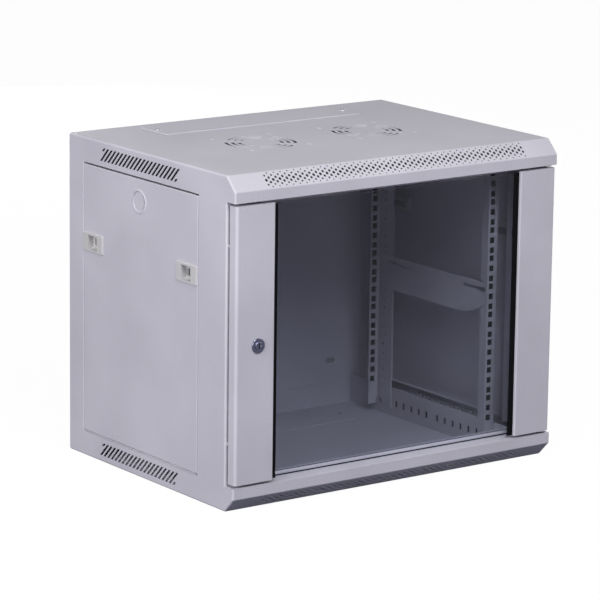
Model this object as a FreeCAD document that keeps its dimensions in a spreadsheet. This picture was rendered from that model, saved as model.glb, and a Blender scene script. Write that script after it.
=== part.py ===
# Wall mount network cabinet, 9U: welded sheet-steel frame, tinted glass door, lift-off side panels
# and four 19-inch mounting rails.
#
# Frame: X across the cabinet, Y from the door to the wall, Z up.  The origin is the middle of the
# underside.  Every length is in millimetres.  Distances named "place" or "start" are measured
# back from the front plane of the cabinet, and heights from its underside.

import FreeCAD, Part
import math
import os
import re
import Sketcher
from FreeCAD import Rotation, Vector

SIZES = [
    # cabinet
    ("width", 600, "outside width"),
    ("depth", 450, "outside depth"),
    ("height", 501, "outside height"),
    ("skin", 1.2, "steel sheet of the covers, posts, panels and door"),
    ("bend", 3, "outside radius of a folded edge"),
    ("clearance", 0.3, "running clearance between moving pieces"),
    # covers
    ("nose", 22, "size of the 45 degree chamfer along the front edge"),
    ("rim", 38.5, "height of a cover's side band"),
    ("vent_count", 20, "vent slots in a side band"),
    ("vent_pitch", 10.05, "pitch of the vent slots"),
    ("vent_place", 251.5, "middle of the row of vent slots"),
    ("vent_drop", 9.8, "cover face to the vent slots"),
    ("vent_height", 20.6, "height of a vent slot"),
    ("vent_slit", 5.4, "length of a vent slot along the band"),
    ("vent_stub", 5, "height of the cut-off slots that end the row"),
    ("grille_width", 486, "width of a perforated strip"),
    ("grille_height", 27.4, "height of a perforated strip on the slope"),
    ("grille_count", 40, "holes in a row of the perforated strip"),
    ("grille_pitch", 12.05, "pitch of the holes in a row"),
    ("grille_row", 4, "pitch of the rows"),
    ("grille_wide", 5, "diameter of the holes in the middle row"),
    ("grille_medium", 4.4, "diameter of the holes beside the middle row"),
    ("grille_narrow", 3.4, "diameter of the holes two rows from the middle"),
    ("grille_fine", 2.4, "diameter of the holes in the outer rows"),
    ("fan_apart", 200, "distance between the two fan places"),
    ("fan_place", 222, "middle of the fan places"),
    ("fan_square", 105, "square of the fan screw holes"),
    ("fan_screw", 4.5, "diameter of a fan screw hole"),
    ("fan_dimple", 10, "diameter of the shallow recess around a fan screw hole"),
    ("fan_dimple_depth", 0.6, "depth of that recess"),
    ("fan_outer", 53, "mean radius of the outer ring of air slots"),
    ("fan_middle", 43, "mean radius of the middle ring of air slots"),
    ("fan_inner", 33, "mean radius of the inner ring of air slots"),
    ("fan_slit", 5, "width of an air slot"),
    ("fan_sweep", 74, "angle that an air slot spans, in degrees"),
    ("entry_place", 387, "middle of the cable entry"),
    ("entry_width", 322, "width of the cable entry"),
    ("entry_depth", 56, "depth of the cable entry"),
    ("entry_edge", 24, "overlap of the entry plate at its ends"),
    ("entry_lap", 9, "overlap of the entry plate along its sides"),
    ("entry_screw_inset", 8, "entry plate screws in from the ends of the plate"),
    # frame
    ("back_skin", 1.5, "steel sheet of the rear panel"),
    ("back_inset", 4, "rear panel edge in from the outline of the cabinet"),
    ("wall_across", 406, "spacing of the wall slots across"),
    ("wall_up", 350, "spacing of the wall slots up"),
    ("wall_hole", 9, "width of a wall slot, for an eight-millimetre screw"),
    ("wall_slot", 19, "length of a wall slot"),
    ("post_start", 21.5, "front face of the front posts"),
    ("post_front_side", 72.5, "side face of a front post"),
    ("post_rear_side", 41.8, "side face of a rear post"),
    ("post_front_return", 34, "front flange of a front post"),
    ("post_inner_return", 22, "flange of a post beside the side panel"),
    ("post_rear_return", 40, "rear flange of a rear post"),
    ("post_tab", 20, "lap of a post's welding tab inside a cover"),
    ("post_tab_inset", 8, "welding tab in from the edges of the post"),
    ("stop_place", 32, "front of the upstand behind a door edge"),
    ("stop_rise", 10, "rise of the upstand above the cover band"),
    # mounting rails
    ("bay_units", 9, "rack units"),
    ("bay_unit", 44.45, "height of a rack unit"),
    ("rail_opening", 450, "clear width between the rails"),
    ("rail_holes", 465.1, "spacing of the hole columns"),
    ("rail_skin", 2, "steel sheet of the rails and braces"),
    ("rail_face", 19.5, "width of a rail's face"),
    ("rail_web", 38, "depth of a rail's web"),
    ("rail_bend", 3.5, "outside bend radius of a rail"),
    ("rail_lift", 15, "underside of the rails above the underside of the cabinet"),
    ("rail_front_place", 72, "face of the front rails"),
    ("rail_rear_place", 372, "face of the rear rails"),
    ("rail_square", 9.5, "square hole for a cage nut"),
    ("rail_hole_first", 6.35, "first hole above the edge of its unit"),
    ("rail_hole_step", 15.875, "spacing of the holes in a unit"),
    ("rail_dot", 4.2, "diameter of the holes in a rail's web"),
    ("rail_dot_place", 16, "holes in the web behind the rail's face"),
    # depth rails
    ("runner_height", 47, "top edge of a depth rail above the underside"),
    ("runner_foot", 27, "foot of a depth rail"),
    ("runner_start", 34, "front end of the depth rails"),
    ("runner_end", 446, "rear end of the depth rails"),
    ("runner_slot_pitch", 20, "pitch of the slots in a depth rail"),
    ("runner_slot_count", 7, "slots in each half of a depth rail"),
    ("runner_slot_front", 216, "innermost slot of the front half"),
    ("runner_slot_rear", 244, "innermost slot of the rear half"),
    ("runner_slot_width", 6.4, "width of a depth rail slot"),
    ("runner_slot_height", 11, "height of a depth rail slot"),
    ("runner_slot_level", 22, "middle of the slots above the underside"),
    # side braces
    ("brace_start", 86, "front end of a side brace"),
    ("brace_end", 357, "rear end of a side brace"),
    ("brace_bottom", 211, "lower edge of a side brace"),
    ("brace_height", 55, "height of a side brace"),
    ("brace_cut", 56, "length of the tapered lower front corner"),
    ("brace_nose", 25, "height of the tapered lower front corner"),
    ("brace_round", 12.5, "radius of the corners of the taper"),
    ("brace_slot_edge", 9, "end of the brace to its adjusting slot"),
    ("brace_slot_length", 57, "length of an adjusting slot"),
    ("brace_slot_height", 5.4, "height of an adjusting slot"),
    ("brace_slot_drop", 11, "top edge of the brace to the middle of the slot"),
    ("brace_screw_inset", 7, "brace screw in from the end of its slot"),
    # fixings
    ("bolt_shank", 6, "diameter of a rail bolt"),
    ("bolt_head", 10, "width across the flats of a rail bolt's head and nut"),
    ("bolt_head_height", 4, "height of a rail bolt's head"),
    ("nut_height", 5, "height of a nut"),
    ("screw_shank", 5, "diameter of a brace screw"),
    ("screw_head", 9, "diameter of a brace screw's head"),
    ("screw_head_height", 2.4, "height of a brace screw's head"),
    ("small_shank", 4, "diameter of an entry plate screw"),
    ("small_head", 8, "diameter of an entry plate screw's head"),
    ("small_head_height", 1.6, "height of an entry plate screw's head"),
    ("small_shank_length", 6, "length of an entry plate screw below its head"),
    ("small_hole", 4.4, "hole for an entry plate screw"),
    ("cross_length", 4.8, "length of a cross recess"),
    ("cross_width", 1, "width of a cross recess"),
    ("cross_depth", 0.9, "depth of a cross recess"),
    ("shank_end", 1.5, "end of a fixing past its nut"),
    ("head_round", 1, "radius of a screw head's edge"),
    ("earth_place", 404, "earth stud behind the front plane"),
    ("earth_across", 205, "earth stud from the middle of the cabinet"),
    ("earth_length", 18, "length of the earth stud"),
    # door
    ("door_side_gap", 3, "door edge in from the side of the cabinet"),
    ("door_gap", 4.5, "gap between the door and a cover band"),
    ("door_depth", 17.5, "depth of a door strip"),
    ("door_strip", 68, "width of a door strip"),
    ("door_corner", 4.5, "radius of the outer edge of a door strip"),
    ("door_ledge", 15, "ledge that the glass is bonded to"),
    ("glass_setback", 7, "front of the glass behind the front plane"),
    ("glass_thickness", 5, "thickness of the glass"),
    ("glass_foot", 9.9, "lower glass edge above the lower end of the door strips"),
    ("glass_margin", 2.8, "upper glass edge below the upper end of the door strips"),
    ("glass_arris", 0.8, "rounding of the glass edges"),
    ("glass_short", 1, "glass edge short of the end of its ledge"),
    ("cap_gap", 3, "end cap of a door strip clear of the glass edge"),
    ("gasket_thickness", 0.8, "thickness of the black edge tape"),
    ("gasket_width", 23, "width of the black edge tape"),
    ("bumper_height", 4, "height of a door bumper"),
    ("bumper_width", 10, "width of a door bumper"),
    ("bumper_apart", 295, "distance between the door bumpers"),
    # hinge
    ("pivot_inset", 11, "hinge axis in from the side of the cabinet"),
    ("pivot_place", 9.5, "hinge axis behind the front plane"),
    ("pin_diameter", 6, "diameter of a hinge pin"),
    ("pin_reach", 4, "hinge pin past the cover's door ledge"),
    ("pin_inside", 22, "hinge pin inside the door strip"),
    ("pin_collar", 10, "diameter of the lower pin's collar"),
    ("collar_gap", 0.1, "gap between the collar and the bush"),
    ("bush_barrel", 9.4, "diameter of a hinge bush in the ledge"),
    ("bush_depth", 1.8, "hinge bush below the face of the ledge"),
    ("bush_flange", 13, "diameter of a hinge bush's flange"),
    ("bush_flange_height", 1.2, "height of a hinge bush's flange"),
    ("sleeve_height", 12, "height of the upper pin's guide sleeve"),
    ("sleeve_width", 12, "width of the upper pin's guide sleeve"),
    ("pin_travel", 9, "travel that frees the upper hinge pin"),
    ("lever_length", 13, "finger lever on the upper hinge pin"),
    ("lever_diameter", 3, "diameter of the finger lever"),
    ("lever_drop", 6, "foot of the upper hinge pin below its sleeve"),
    # lock
    ("lock_inset", 42, "lock axis in from the side of the cabinet"),
    ("lock_level", 249.5, "lock axis above the underside"),
    ("lock_rim", 22.5, "diameter of the lock's chrome rim"),
    ("lock_rim_proud", 2.2, "lock rim in front of the door"),
    ("lock_barrel", 18, "diameter of the lock's threaded barrel"),
    ("lock_nut_width", 21.5, "diameter of the lock's ring nut"),
    ("lock_nut_height", 4, "height of the lock's ring nut"),
    ("lock_bore", 13, "bore for the lock plug"),
    ("plug_proud", 1.6, "lock plug in front of its rim"),
    ("key_slot_width", 1.6, "width of the key slot"),
    ("key_slot_height", 7.8, "height of the key slot"),
    ("stem_diameter", 9.1, "diameter of the stem that carries the cam"),
    ("cam_place", 24.6, "front of the cam behind the front plane"),
    ("cam_skin", 2, "thickness of the cam"),
    ("cam_reach", 36, "reach of the cam from the lock axis"),
    ("cam_width", 13, "width of the cam"),
    ("cam_round", 5.8, "radius of the cam's corners"),
    ("cam_screw", 11.7, "diameter of the cam screw's head"),
    # side panels
    ("panel_gap", 0.7, "gap between a side panel and the posts"),
    ("panel_top_gap", 3, "gap above a side panel"),
    ("panel_bottom_gap", 2, "gap below a side panel"),
    ("panel_flange", 9, "depth of a side panel's folded edge"),
    ("panel_corner", 1.6, "outside radius of a side panel's edge"),
    ("hook_width", 30, "width of a panel hook"),
    ("hook_apart", 200, "distance between the panel hooks"),
    ("hook_drop", 10, "hook below the panel's edge"),
    ("knockout_rim", 33, "diameter of the recess for a panel lock"),
    ("knockout_disc", 25, "diameter of the raised disc in that recess"),
    ("knockout_depth", 0.9, "depth of that recess, pressed inwards"),
    ("knockout_level", 425, "middle of that recess above the underside"),
    # panel latches
    ("latch_apart", 255, "distance between the two latches of a panel"),
    ("latch_level", 340, "middle of the latches above the underside"),
    ("bezel_long", 54, "length of a latch bezel"),
    ("bezel_tall", 29.5, "height of a latch bezel"),
    ("bezel_proud", 2.2, "thickness of a latch bezel"),
    ("bezel_round", 1.1, "radius of a latch bezel's face edge"),
    ("bezel_corner", 2.2, "radius of a latch bezel's corners"),
    ("pocket_long", 24, "length of the finger pocket"),
    ("pocket_tall", 22, "height of the finger pocket"),
    ("pocket_deep", 7.5, "depth of the finger pocket inside the panel"),
    ("pocket_scoop", 6.5, "radius that slopes the pocket's floor towards its lower edge"),
    ("pocket_wall", 1.3, "wall of the finger pocket"),
    ("tongue_travel", 8, "travel of a latch tongue"),
    ("tongue_skin", 1.8, "thickness of a latch tongue"),
    ("tongue_tall", 10, "height of a latch tongue"),
    ("tongue_shy", 1.5, "tongue tip short of the post when released"),
    ("tongue_room", 1.6, "room around a latch tongue in the post's slot"),
    ("lug_long", 5, "length of the finger lug"),
    ("lug_deep", 3.5, "finger lug inside the pocket"),
]

ALIASES = {alias for alias, value, meaning in SIZES}

doc = FreeCAD.newDocument("wall_cabinet")
sheet = doc.addObject("Spreadsheet::Sheet", "Sizes")
for line, (alias, value, meaning) in enumerate(SIZES, start=1):
    sheet.set(f"A{line}", meaning)
    sheet.set(f"B{line}", str(value))
    sheet.setAlias(f"B{line}", alias)
doc.recompute()

FRONT = "(-depth / 2)"
BACK = "(depth / 2 - back_skin)"
SIDE = "(width / 2)"
RAIL_INSIDE = "(rail_opening / 2)"
RAIL_OUTSIDE = "(rail_opening / 2 + rail_face)"
DOOR_EDGE = "(width / 2 - door_side_gap)"
DOOR_INNER = "(width / 2 - door_side_gap - door_strip)"
DOOR_BOTTOM = "(rim + door_gap)"
DOOR_TOP = "(height - rim - door_gap)"
STOP_BACK = "(stop_place + skin - depth / 2)"
POST_END = "(post_start + post_front_side - depth / 2)"
REAR_POST_START = "(depth / 2 - back_skin - post_rear_side)"
PIVOT = ("(width / 2 - pivot_inset)", "(pivot_place - depth / 2)")
PIN_HOLE = "(pin_diameter + 2 * clearance)"
LOCK = "(lock_inset - width / 2)"
PANEL_MIDDLE = f"(({POST_END} + {REAR_POST_START}) / 2)"
PANEL_BOTTOM = "(rim + panel_bottom_gap)"
PANEL_TOP = "(height - rim - panel_top_gap)"
BAY_BOTTOM = "(height / 2 - bay_units * bay_unit / 2)"

pieces = []


def tied(text):
    """The expression with each size name pointed at the sheet."""
    return re.sub(r"[a-z_]+", lambda word: ("Sizes." if word[0] in ALIASES else "") + word[0], text)


def number(text):
    """What an expression of sizes comes to."""
    value = sheet.evalExpression(tied(text))
    return float(getattr(value, "Value", value))


def bind(thing, path, text):
    thing.setExpression(path, tied(text))


def keep(thing):
    """Adds a finished sub-part to the ones that are written."""
    pieces.append(thing)
    return thing


def new_body(label):
    body = doc.addObject("PartDesign::Body", label)
    body.Label = label
    return keep(body)


def new_sketch(body, plane, lift="0", shift=("0", "0")):
    """A sketch on one of the body's own planes, lifted along its normal and shifted within it."""
    sketch = body.newObject("Sketcher::SketchObject", "Sketch")
    origin_plane = next(f for f in body.Origin.OriginFeatures if f.Role == plane)
    sketch.AttachmentSupport = [(origin_plane, "")]
    sketch.MapMode = "FlatFace"
    bind(sketch, "AttachmentOffset.Base.x", shift[0])
    bind(sketch, "AttachmentOffset.Base.y", shift[1])
    bind(sketch, "AttachmentOffset.Base.z", lift)
    return sketch


def pin_point(sketch, shape, corner, at):
    """Holds one point of a shape at a pair of expressions."""
    for kind, text in zip(("DistanceX", "DistanceY"), at):
        if abs(number(text)) < 1e-9:
            continue
        index = sketch.addConstraint(Sketcher.Constraint(kind, -1, 1, shape, corner, number(text)))
        bind(sketch, f"Constraints[{index}]", text)


def polygon(sketch, corners):
    """A closed outline with straight sides through corners given as expressions."""
    first = sketch.GeometryCount
    places = [Vector(number(a), number(b), 0) for a, b in corners]
    count = len(corners)
    for i in range(count):
        sketch.addGeometry(Part.LineSegment(places[i], places[(i + 1) % count]), False)
    for i in range(count):
        following = first + (i + 1) % count
        sketch.addConstraint(Sketcher.Constraint("Coincident", first + i, 2, following, 1))
    for i in range(count):
        pin_point(sketch, first + i, 1, corners[i])
    return first


def rectangle(sketch, low, high):
    polygon(sketch, [low, (high[0], low[1]), high, (low[0], high[1])])


def circle(sketch, centre, diameter):
    place = Vector(number(centre[0]), number(centre[1]), 0)
    shape = sketch.addGeometry(Part.Circle(place, Vector(0, 0, 1), number(diameter) / 2), False)
    pin_point(sketch, shape, 3, centre)
    index = sketch.addConstraint(Sketcher.Constraint("Diameter", shape, number(diameter)))
    bind(sketch, f"Constraints[{index}]", diameter)


def ring_slot(sketch, radius):
    """An air slot along a ring about the sketch's own origin."""
    half = math.radians(number("fan_sweep") / 2)
    width = number("fan_slit")
    inner = number(radius) - width / 2
    outer = number(radius) + width / 2
    arcs = []
    for size in (inner, outer):
        ring = Part.Circle(Vector(0, 0, 0), Vector(0, 0, 1), size)
        arcs.append(sketch.addGeometry(Part.ArcOfCircle(ring, -half, half), False))
    for turn, corner in ((-half, 1), (half, 2)):
        start = Vector(inner * math.cos(turn), inner * math.sin(turn), 0)
        end = Vector(outer * math.cos(turn), outer * math.sin(turn), 0)
        side = sketch.addGeometry(Part.LineSegment(start, end), False)
        sketch.addConstraint(Sketcher.Constraint("Coincident", arcs[0], corner, side, 1))
        sketch.addConstraint(Sketcher.Constraint("Coincident", arcs[1], corner, side, 2))
    for arc, sign in zip(arcs, ("-", "+")):
        sketch.addConstraint(Sketcher.Constraint("Coincident", arc, 3, -1, 1))
        text = f"{radius} {sign} fan_slit / 2"
        index = sketch.addConstraint(Sketcher.Constraint("Radius", arc, number(text)))
        bind(sketch, f"Constraints[{index}]", text)


def pad(body, sketch, length, symmetric=False, backwards=False):
    feature = body.newObject("PartDesign::Pad", "Pad")
    feature.Profile = sketch
    feature.SideType = "Symmetric" if symmetric else "One side"
    feature.Reversed = backwards
    bind(feature, "Length", length)
    return feature


def pocket(body, sketch, length, symmetric=False, backwards=False):
    """A pocket, which has to take something away."""
    before = body.Tip
    feature = body.newObject("PartDesign::Pocket", "Pocket")
    feature.Profile = sketch
    feature.SideType = "Symmetric" if symmetric else "One side"
    feature.Reversed = backwards
    bind(feature, "Length", length)
    doc.recompute()
    if feature.Shape.Volume > before.Shape.Volume - 1e-3:
        raise RuntimeError(f"{body.Label}: {feature.Name} takes nothing away")
    return feature


def row(body, feature, sketch, axis, pitch, count):
    """Repeats a pocket along one of its sketch's axes."""
    pattern = body.newObject("PartDesign::LinearPattern", "Row")
    pattern.Originals = [feature]
    pattern.Direction = (sketch, [axis])
    pattern.Mode = "Spacing"
    bind(pattern, "Offset", pitch)
    bind(pattern, "Occurrences", count)
    body.Tip = pattern
    doc.recompute()
    return pattern


def span(thing, ends, names):
    """Binds the start and length of a box along one axis, whichever way round its ends are."""
    low, high = ends if number(ends[0]) < number(ends[1]) else (ends[1], ends[0])
    bind(thing, f"Placement.Base.{names[0]}", low)
    bind(thing, names[1], f"({high}) - ({low})")


def block(body, x, y, z, cut=False):
    """A box between pairs of expressions, added to the body or cut from it."""
    kind = "PartDesign::SubtractiveBox" if cut else "PartDesign::AdditiveBox"
    feature = body.newObject(kind, "Cut" if cut else "Block")
    span(feature, x, ("x", "Length"))
    span(feature, y, ("y", "Width"))
    span(feature, z, ("z", "Height"))
    doc.recompute()
    return feature


TURNS = {
    "+X": Rotation(Vector(0, 1, 0), 90),
    "-X": Rotation(Vector(0, 1, 0), -90),
    "+Y": Rotation(Vector(1, 0, 0), -90),
    "-Y": Rotation(Vector(1, 0, 0), 90),
    "+Z": Rotation(),
    "-Z": Rotation(Vector(1, 0, 0), 180),
}


def turn_and_place(thing, start, way):
    place = thing.Placement
    place.Rotation = TURNS[way]
    thing.Placement = place
    for axis, text in zip("xyz", start):
        bind(thing, f"Placement.Base.{axis}", text)


def rod(body, start, way, diameter, length, cut=False):
    """A round bar from a point along an axis, added to the body or cut from it."""
    kind = "PartDesign::SubtractiveCylinder" if cut else "PartDesign::AdditiveCylinder"
    feature = body.newObject(kind, "Bore" if cut else "Rod")
    bind(feature, "Radius", f"({diameter}) / 2")
    bind(feature, "Height", length)
    turn_and_place(feature, start, way)
    doc.recompute()
    return feature


def hexagon(body, start, way, flats, length):
    """A hexagonal prism from a point along an axis, as wide across its flats as is said."""
    feature = body.newObject("PartDesign::AdditivePrism", "Hexagon")
    feature.Polygon = 6
    bind(feature, "Circumradius", f"({flats}) / sqrt(3)")
    bind(feature, "Height", length)
    turn_and_place(feature, start, way)
    doc.recompute()
    return feature


def fillet(body, radius, points):
    """Rounds the edges that pass through points given as expressions."""
    base = body.Tip
    spots = [Part.Vertex(*[number(text) for text in point]) for point in points]
    names = []
    for index, edge in enumerate(base.Shape.Edges, start=1):
        if any(edge.distToShape(spot)[0] < 1e-4 for spot in spots):
            names.append(f"Edge{index}")
    if len(names) < len(points):
        raise RuntimeError(f"{body.Label}: {len(names)} edges found at {len(points)} points")
    feature = body.newObject("PartDesign::Fillet", "Fillet")
    feature.Base = (base, names)
    bind(feature, "Radius", radius)
    doc.recompute()
    return feature


def mirror(source, label, normal, through=("0", "0", "0")):
    """The opposite-handed sub-part, mirrored in a plane of the cabinet."""
    feature = doc.addObject("Part::Mirroring", label)
    feature.Label = label
    feature.Source = source
    feature.Normal = normal
    for axis, text in zip("xyz", through):
        bind(feature, f"Base.{axis}", text)
    return keep(feature)


ACROSS = Vector(1, 0, 0)
UP = Vector(0, 0, 1)
MIDDLE_HEIGHT = ("0", "0", "height / 2")


# --- Covers -----------------------------------------------------------------------------------


def vents(body, low, high):
    """The slanted slots through both side bands, and the cut-off slots that end the row."""
    first = f"(vent_place - (vent_count - 1) * vent_pitch / 2 + {FRONT})"
    last = f"(vent_place + (vent_count - 1) * vent_pitch / 2 + {FRONT})"

    def slit(sketch, middle, foot, head):
        corners = []
        for edge, sign in ((foot, "-"), (foot, "+"), (head, "+"), (head, "-")):
            lean = f"{middle} + ({low} + {high}) / 2 - ({edge})"
            corners.append((f"{lean} {sign} vent_slit / 2", edge))
        polygon(sketch, corners)

    slots = new_sketch(body, "YZ_Plane")
    slit(slots, first, low, high)
    row(body, pocket(body, slots, "width * 2", symmetric=True), slots, "H_Axis", "vent_pitch", "vent_count")
    stubs = new_sketch(body, "YZ_Plane")
    slit(stubs, f"{first} - vent_pitch", low, f"({low} + vent_stub)")
    slit(stubs, f"{last} + vent_pitch", f"({high} - vent_stub)", high)
    pocket(body, stubs, "width * 2", symmetric=True)


def cover(label, level, low, high, upper):
    """A tray folded from one sheet: plate, two side bands, a rear band, and the chamfered front.

    level gives the height of a point from its distance inside the cover's outer face."""
    body = new_body(label)
    inner_nose = "(nose + skin * tan(22.5))"
    outline = new_sketch(body, "YZ_Plane")
    polygon(outline, [
        (f"nose + {FRONT}", level("0")),
        (BACK, level("0")),
        (BACK, level("rim")),
        (FRONT, level("rim")),
        (FRONT, level("nose")),
    ])
    pad(body, outline, "width", symmetric=True)
    hollow = new_sketch(body, "YZ_Plane")
    polygon(hollow, [
        (f"{inner_nose} + {FRONT}", level("skin")),
        (f"{BACK} - skin", level("skin")),
        (f"{BACK} - skin", level("rim")),
        (f"skin + {FRONT}", level("rim")),
        (f"skin + {FRONT}", level(inner_nose)),
    ])
    pocket(body, hollow, "width - 2 * skin", symmetric=True)
    middle = level("(rim + nose) / 2")
    slope = (f"nose / 2 + {FRONT}", level("nose / 2"))
    edges = [("0", f"nose + {FRONT}", level("0")), ("0", FRONT, level("nose")), ("0", BACK, level("0"))]
    for side in (f"(0 - {SIDE})", SIDE):
        edges.append((side, "0", level("0")))
        edges.append((side, FRONT, middle))
        edges.append((side, BACK, middle))
        edges.append((side, slope[0], slope[1]))
    fillet(body, "bend", edges)
    window = body.newObject("PartDesign::SubtractiveBox", "Window")
    bind(window, "Length", "grille_width")
    bind(window, "Width", "grille_height")
    bind(window, "Height", "3 * skin")
    bind(window, "Placement.Base.x", "0 - grille_width / 2")
    near = "(grille_height / 2 * sqrt(0.5))"
    over = "(0 - 2 * skin * sqrt(0.5))" if upper else "(skin * sqrt(0.5))"
    place = window.Placement
    place.Rotation = Rotation(ACROSS, 45 if upper else -45)
    window.Placement = place
    bind(window, "Placement.Base.y", f"{FRONT} + nose / 2 - {near} - {over}")
    bind(window, "Placement.Base.z", f"{level('nose / 2')} {'-' if upper else '+'} ({near} - {over})")
    doc.recompute()
    vents(body, low, high)
    doc.recompute()
    half = "(entry_width / 2)"
    entry = (f"entry_place - entry_depth / 2 + {FRONT}", f"entry_place + entry_depth / 2 + {FRONT}")
    block(body, (f"0 - {half}", half), entry, (level("0 - skin"), level("2 * skin")), cut=True)
    for side in ("-", "+"):
        across = f"{side} (entry_width / 2 + entry_edge - entry_screw_inset)"
        start = (across, f"entry_place + {FRONT}", level("skin"))
        rod(body, start, "+Z", "small_hole", "skin * 2", cut=True)
        rod(body, start, "-Z", "small_hole", "skin * 2", cut=True)
    return body


def from_top(distance):
    return f"(height - ({distance}))"


def from_bottom(distance):
    return f"({distance})"


def fan_places(body):
    """Two rings of air slots with four screw holes each; the middle of a ring stays blank."""
    sketch = new_sketch(body, "XY_Plane", "height", ("0 - fan_apart / 2", f"fan_place + {FRONT}"))
    for radius in ("fan_outer", "fan_middle", "fan_inner"):
        ring_slot(sketch, radius)
    circle(sketch, ("fan_square / 2", "fan_square / 2"), "fan_screw")
    quarter = pocket(body, sketch, "skin * 4", symmetric=True)
    ring = new_sketch(body, "XY_Plane", "height", ("0 - fan_apart / 2", f"fan_place + {FRONT}"))
    circle(ring, ("fan_square / 2", "fan_square / 2"), "fan_dimple")
    dimple = pocket(body, ring, "fan_dimple_depth * 2", symmetric=True)
    both = body.newObject("PartDesign::MultiTransform", "FanPlaces")
    both.Originals = [quarter, dimple]
    turn = body.newObject("PartDesign::PolarPattern", "Turn")
    turn.Axis = (sketch, ["N_Axis"])
    turn.Angle = 360
    turn.Occurrences = 4
    twin = body.newObject("PartDesign::Mirrored", "Twin")
    twin.MirrorPlane = (next(f for f in body.Origin.OriginFeatures if f.Role == "YZ_Plane"), [""])
    both.Transformations = [turn, twin]
    body.Tip = both
    doc.recompute()


lower_low = from_bottom("vent_drop")
lower_high = from_bottom("vent_drop + vent_height")
upper_low = from_top("vent_drop + vent_height")
upper_high = from_top("vent_drop")
top_cover = cover("top_cover", from_top, upper_low, upper_high, upper=True)
fan_places(top_cover)
cover("bottom_cover", from_bottom, lower_low, lower_high, upper=False)


def grille():
    """A flat strip with seven staggered rows of holes, largest in the middle row."""
    body = new_body("top_grille")
    outline = new_sketch(body, "XY_Plane")
    corner = ("grille_width / 2", "grille_height / 2")
    rectangle(outline, (f"0 - {corner[0]}", f"0 - {corner[1]}"), corner)
    pad(body, outline, "skin", backwards=True)
    column = new_sketch(body, "XY_Plane")
    start = "(grille_count - 1) * grille_pitch / 2"
    holes = ("grille_wide", "grille_medium", "grille_narrow", "grille_fine")
    for step in range(-3, 4):
        stagger = "+" if step % 2 else "-"
        across = f"0 - {start} {stagger} grille_pitch / 4"
        circle(column, (across, f"{step} * grille_row"), holes[abs(step)])
    cut = pocket(body, column, "skin * 4", symmetric=True)
    row(body, cut, column, "H_Axis", "grille_pitch", "grille_count")
    body.Placement = FreeCAD.Placement(Vector(), Rotation(ACROSS, 45))
    bind(body, "Placement.Base.y", f"{FRONT} + nose / 2")
    bind(body, "Placement.Base.z", "height - nose / 2")
    return body


mirror(grille(), "bottom_grille", UP, MIDDLE_HEIGHT)


def entry_plate(label, bottom, top):
    """The removable cover of a cable entry."""
    body = new_body(label)
    half = "(entry_width / 2 + entry_edge)"
    reach = "(entry_depth / 2 + entry_lap)"
    near = f"entry_place - {reach} + {FRONT}"
    far = f"entry_place + {reach} + {FRONT}"
    block(body, (f"0 - {half}", half), (near, far), (bottom, top))
    level = f"({bottom} + {top}) / 2"
    corners = [(f"{sign} {half}", end, level) for sign in ("0 -", "0 +") for end in (near, far)]
    fillet(body, "bend", corners)
    for sign in ("0 -", "0 +"):
        across = f"{sign} ({half} - entry_screw_inset)"
        rod(body, (across, f"entry_place + {FRONT}", bottom), "+Z", "small_hole", "skin", cut=True)
    return body


entry_plate("cable_entry_plate_top", "height", "(height + skin)")
entry_plate("cable_entry_plate_bottom", "skin", "(2 * skin)")


def group(label, members):
    """Identical small pieces that share one node, each a solid of its own."""
    feature = doc.addObject("Part::Compound", label)
    feature.Label = label
    feature.Links = members
    return keep(feature)


def loose(label):
    """A body that is written only as a member of a group."""
    body = new_body(label)
    pieces.remove(body)
    return body


def hand(source, label, normal, through=("0", "0", "0")):
    """A mirrored member of a group."""
    feature = mirror(source, label, normal, through)
    pieces.remove(feature)
    return feature


def pan_screw(label, start, length):
    """A cross-head screw driven downwards, its head's underside at start."""
    body = loose(label)
    x, y, z = start
    rod(body, start, "+Z", "small_head", "small_head_height")
    fillet(body, "head_round", [(f"{x} + small_head / 2", y, f"{z} + small_head_height")])
    rod(body, start, "-Z", "small_shank", length)
    top = (f"{z} + small_head_height - cross_depth", f"{z} + 2 * small_head_height")
    for along, across in (("cross_length", "cross_width"), ("cross_width", "cross_length")):
        wide = (f"{x} - {along} / 2", f"{x} + {along} / 2")
        deep = (f"{y} - {across} / 2", f"{y} + {across} / 2")
        block(body, wide, deep, top, cut=True)
    return body


entry_screw_x = "(entry_width / 2 + entry_edge - entry_screw_inset)"
screws = []
for name, bottom, length in (
    ("Upper", "(height + skin)", "small_shank_length"),
    ("Lower", "(2 * skin)", "2 * skin"),
):
    screw = pan_screw(f"{name}EntryScrew", (entry_screw_x, f"entry_place + {FRONT}", bottom), length)
    screws += [screw, hand(screw, f"{name}EntryScrewLeft", ACROSS)]
group("cable_entry_screws", screws)


# --- Welded frame -------------------------------------------------------------------------------

TONGUE_OUTER = "(pocket_deep + pocket_wall + clearance)"
TONGUE_INNER = "(pocket_deep + pocket_wall + clearance + tongue_skin)"
POST_RUN = ("rim", "height - rim")


def tongue_hole(body, y):
    """The slot in a post's flange that a side panel's latch tongue enters."""
    level = ("latch_level - tongue_tall / 2 - tongue_room", "latch_level + tongue_tall / 2 + tongue_room")
    across = (f"{SIDE} - {TONGUE_INNER} - tongue_room", f"{SIDE} - {TONGUE_OUTER} + tongue_room")
    block(body, across, y, level, cut=True)


def weld_tabs(body, y):
    """Laps inside the two covers, spot-welded to their side bands."""
    across = (f"{SIDE} - 2 * skin", f"{SIDE} - skin")
    block(body, across, y, ("rim - post_tab", "rim + post_tab"))
    block(body, across, y, ("height - rim - post_tab", "height - rim + post_tab"))


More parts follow.
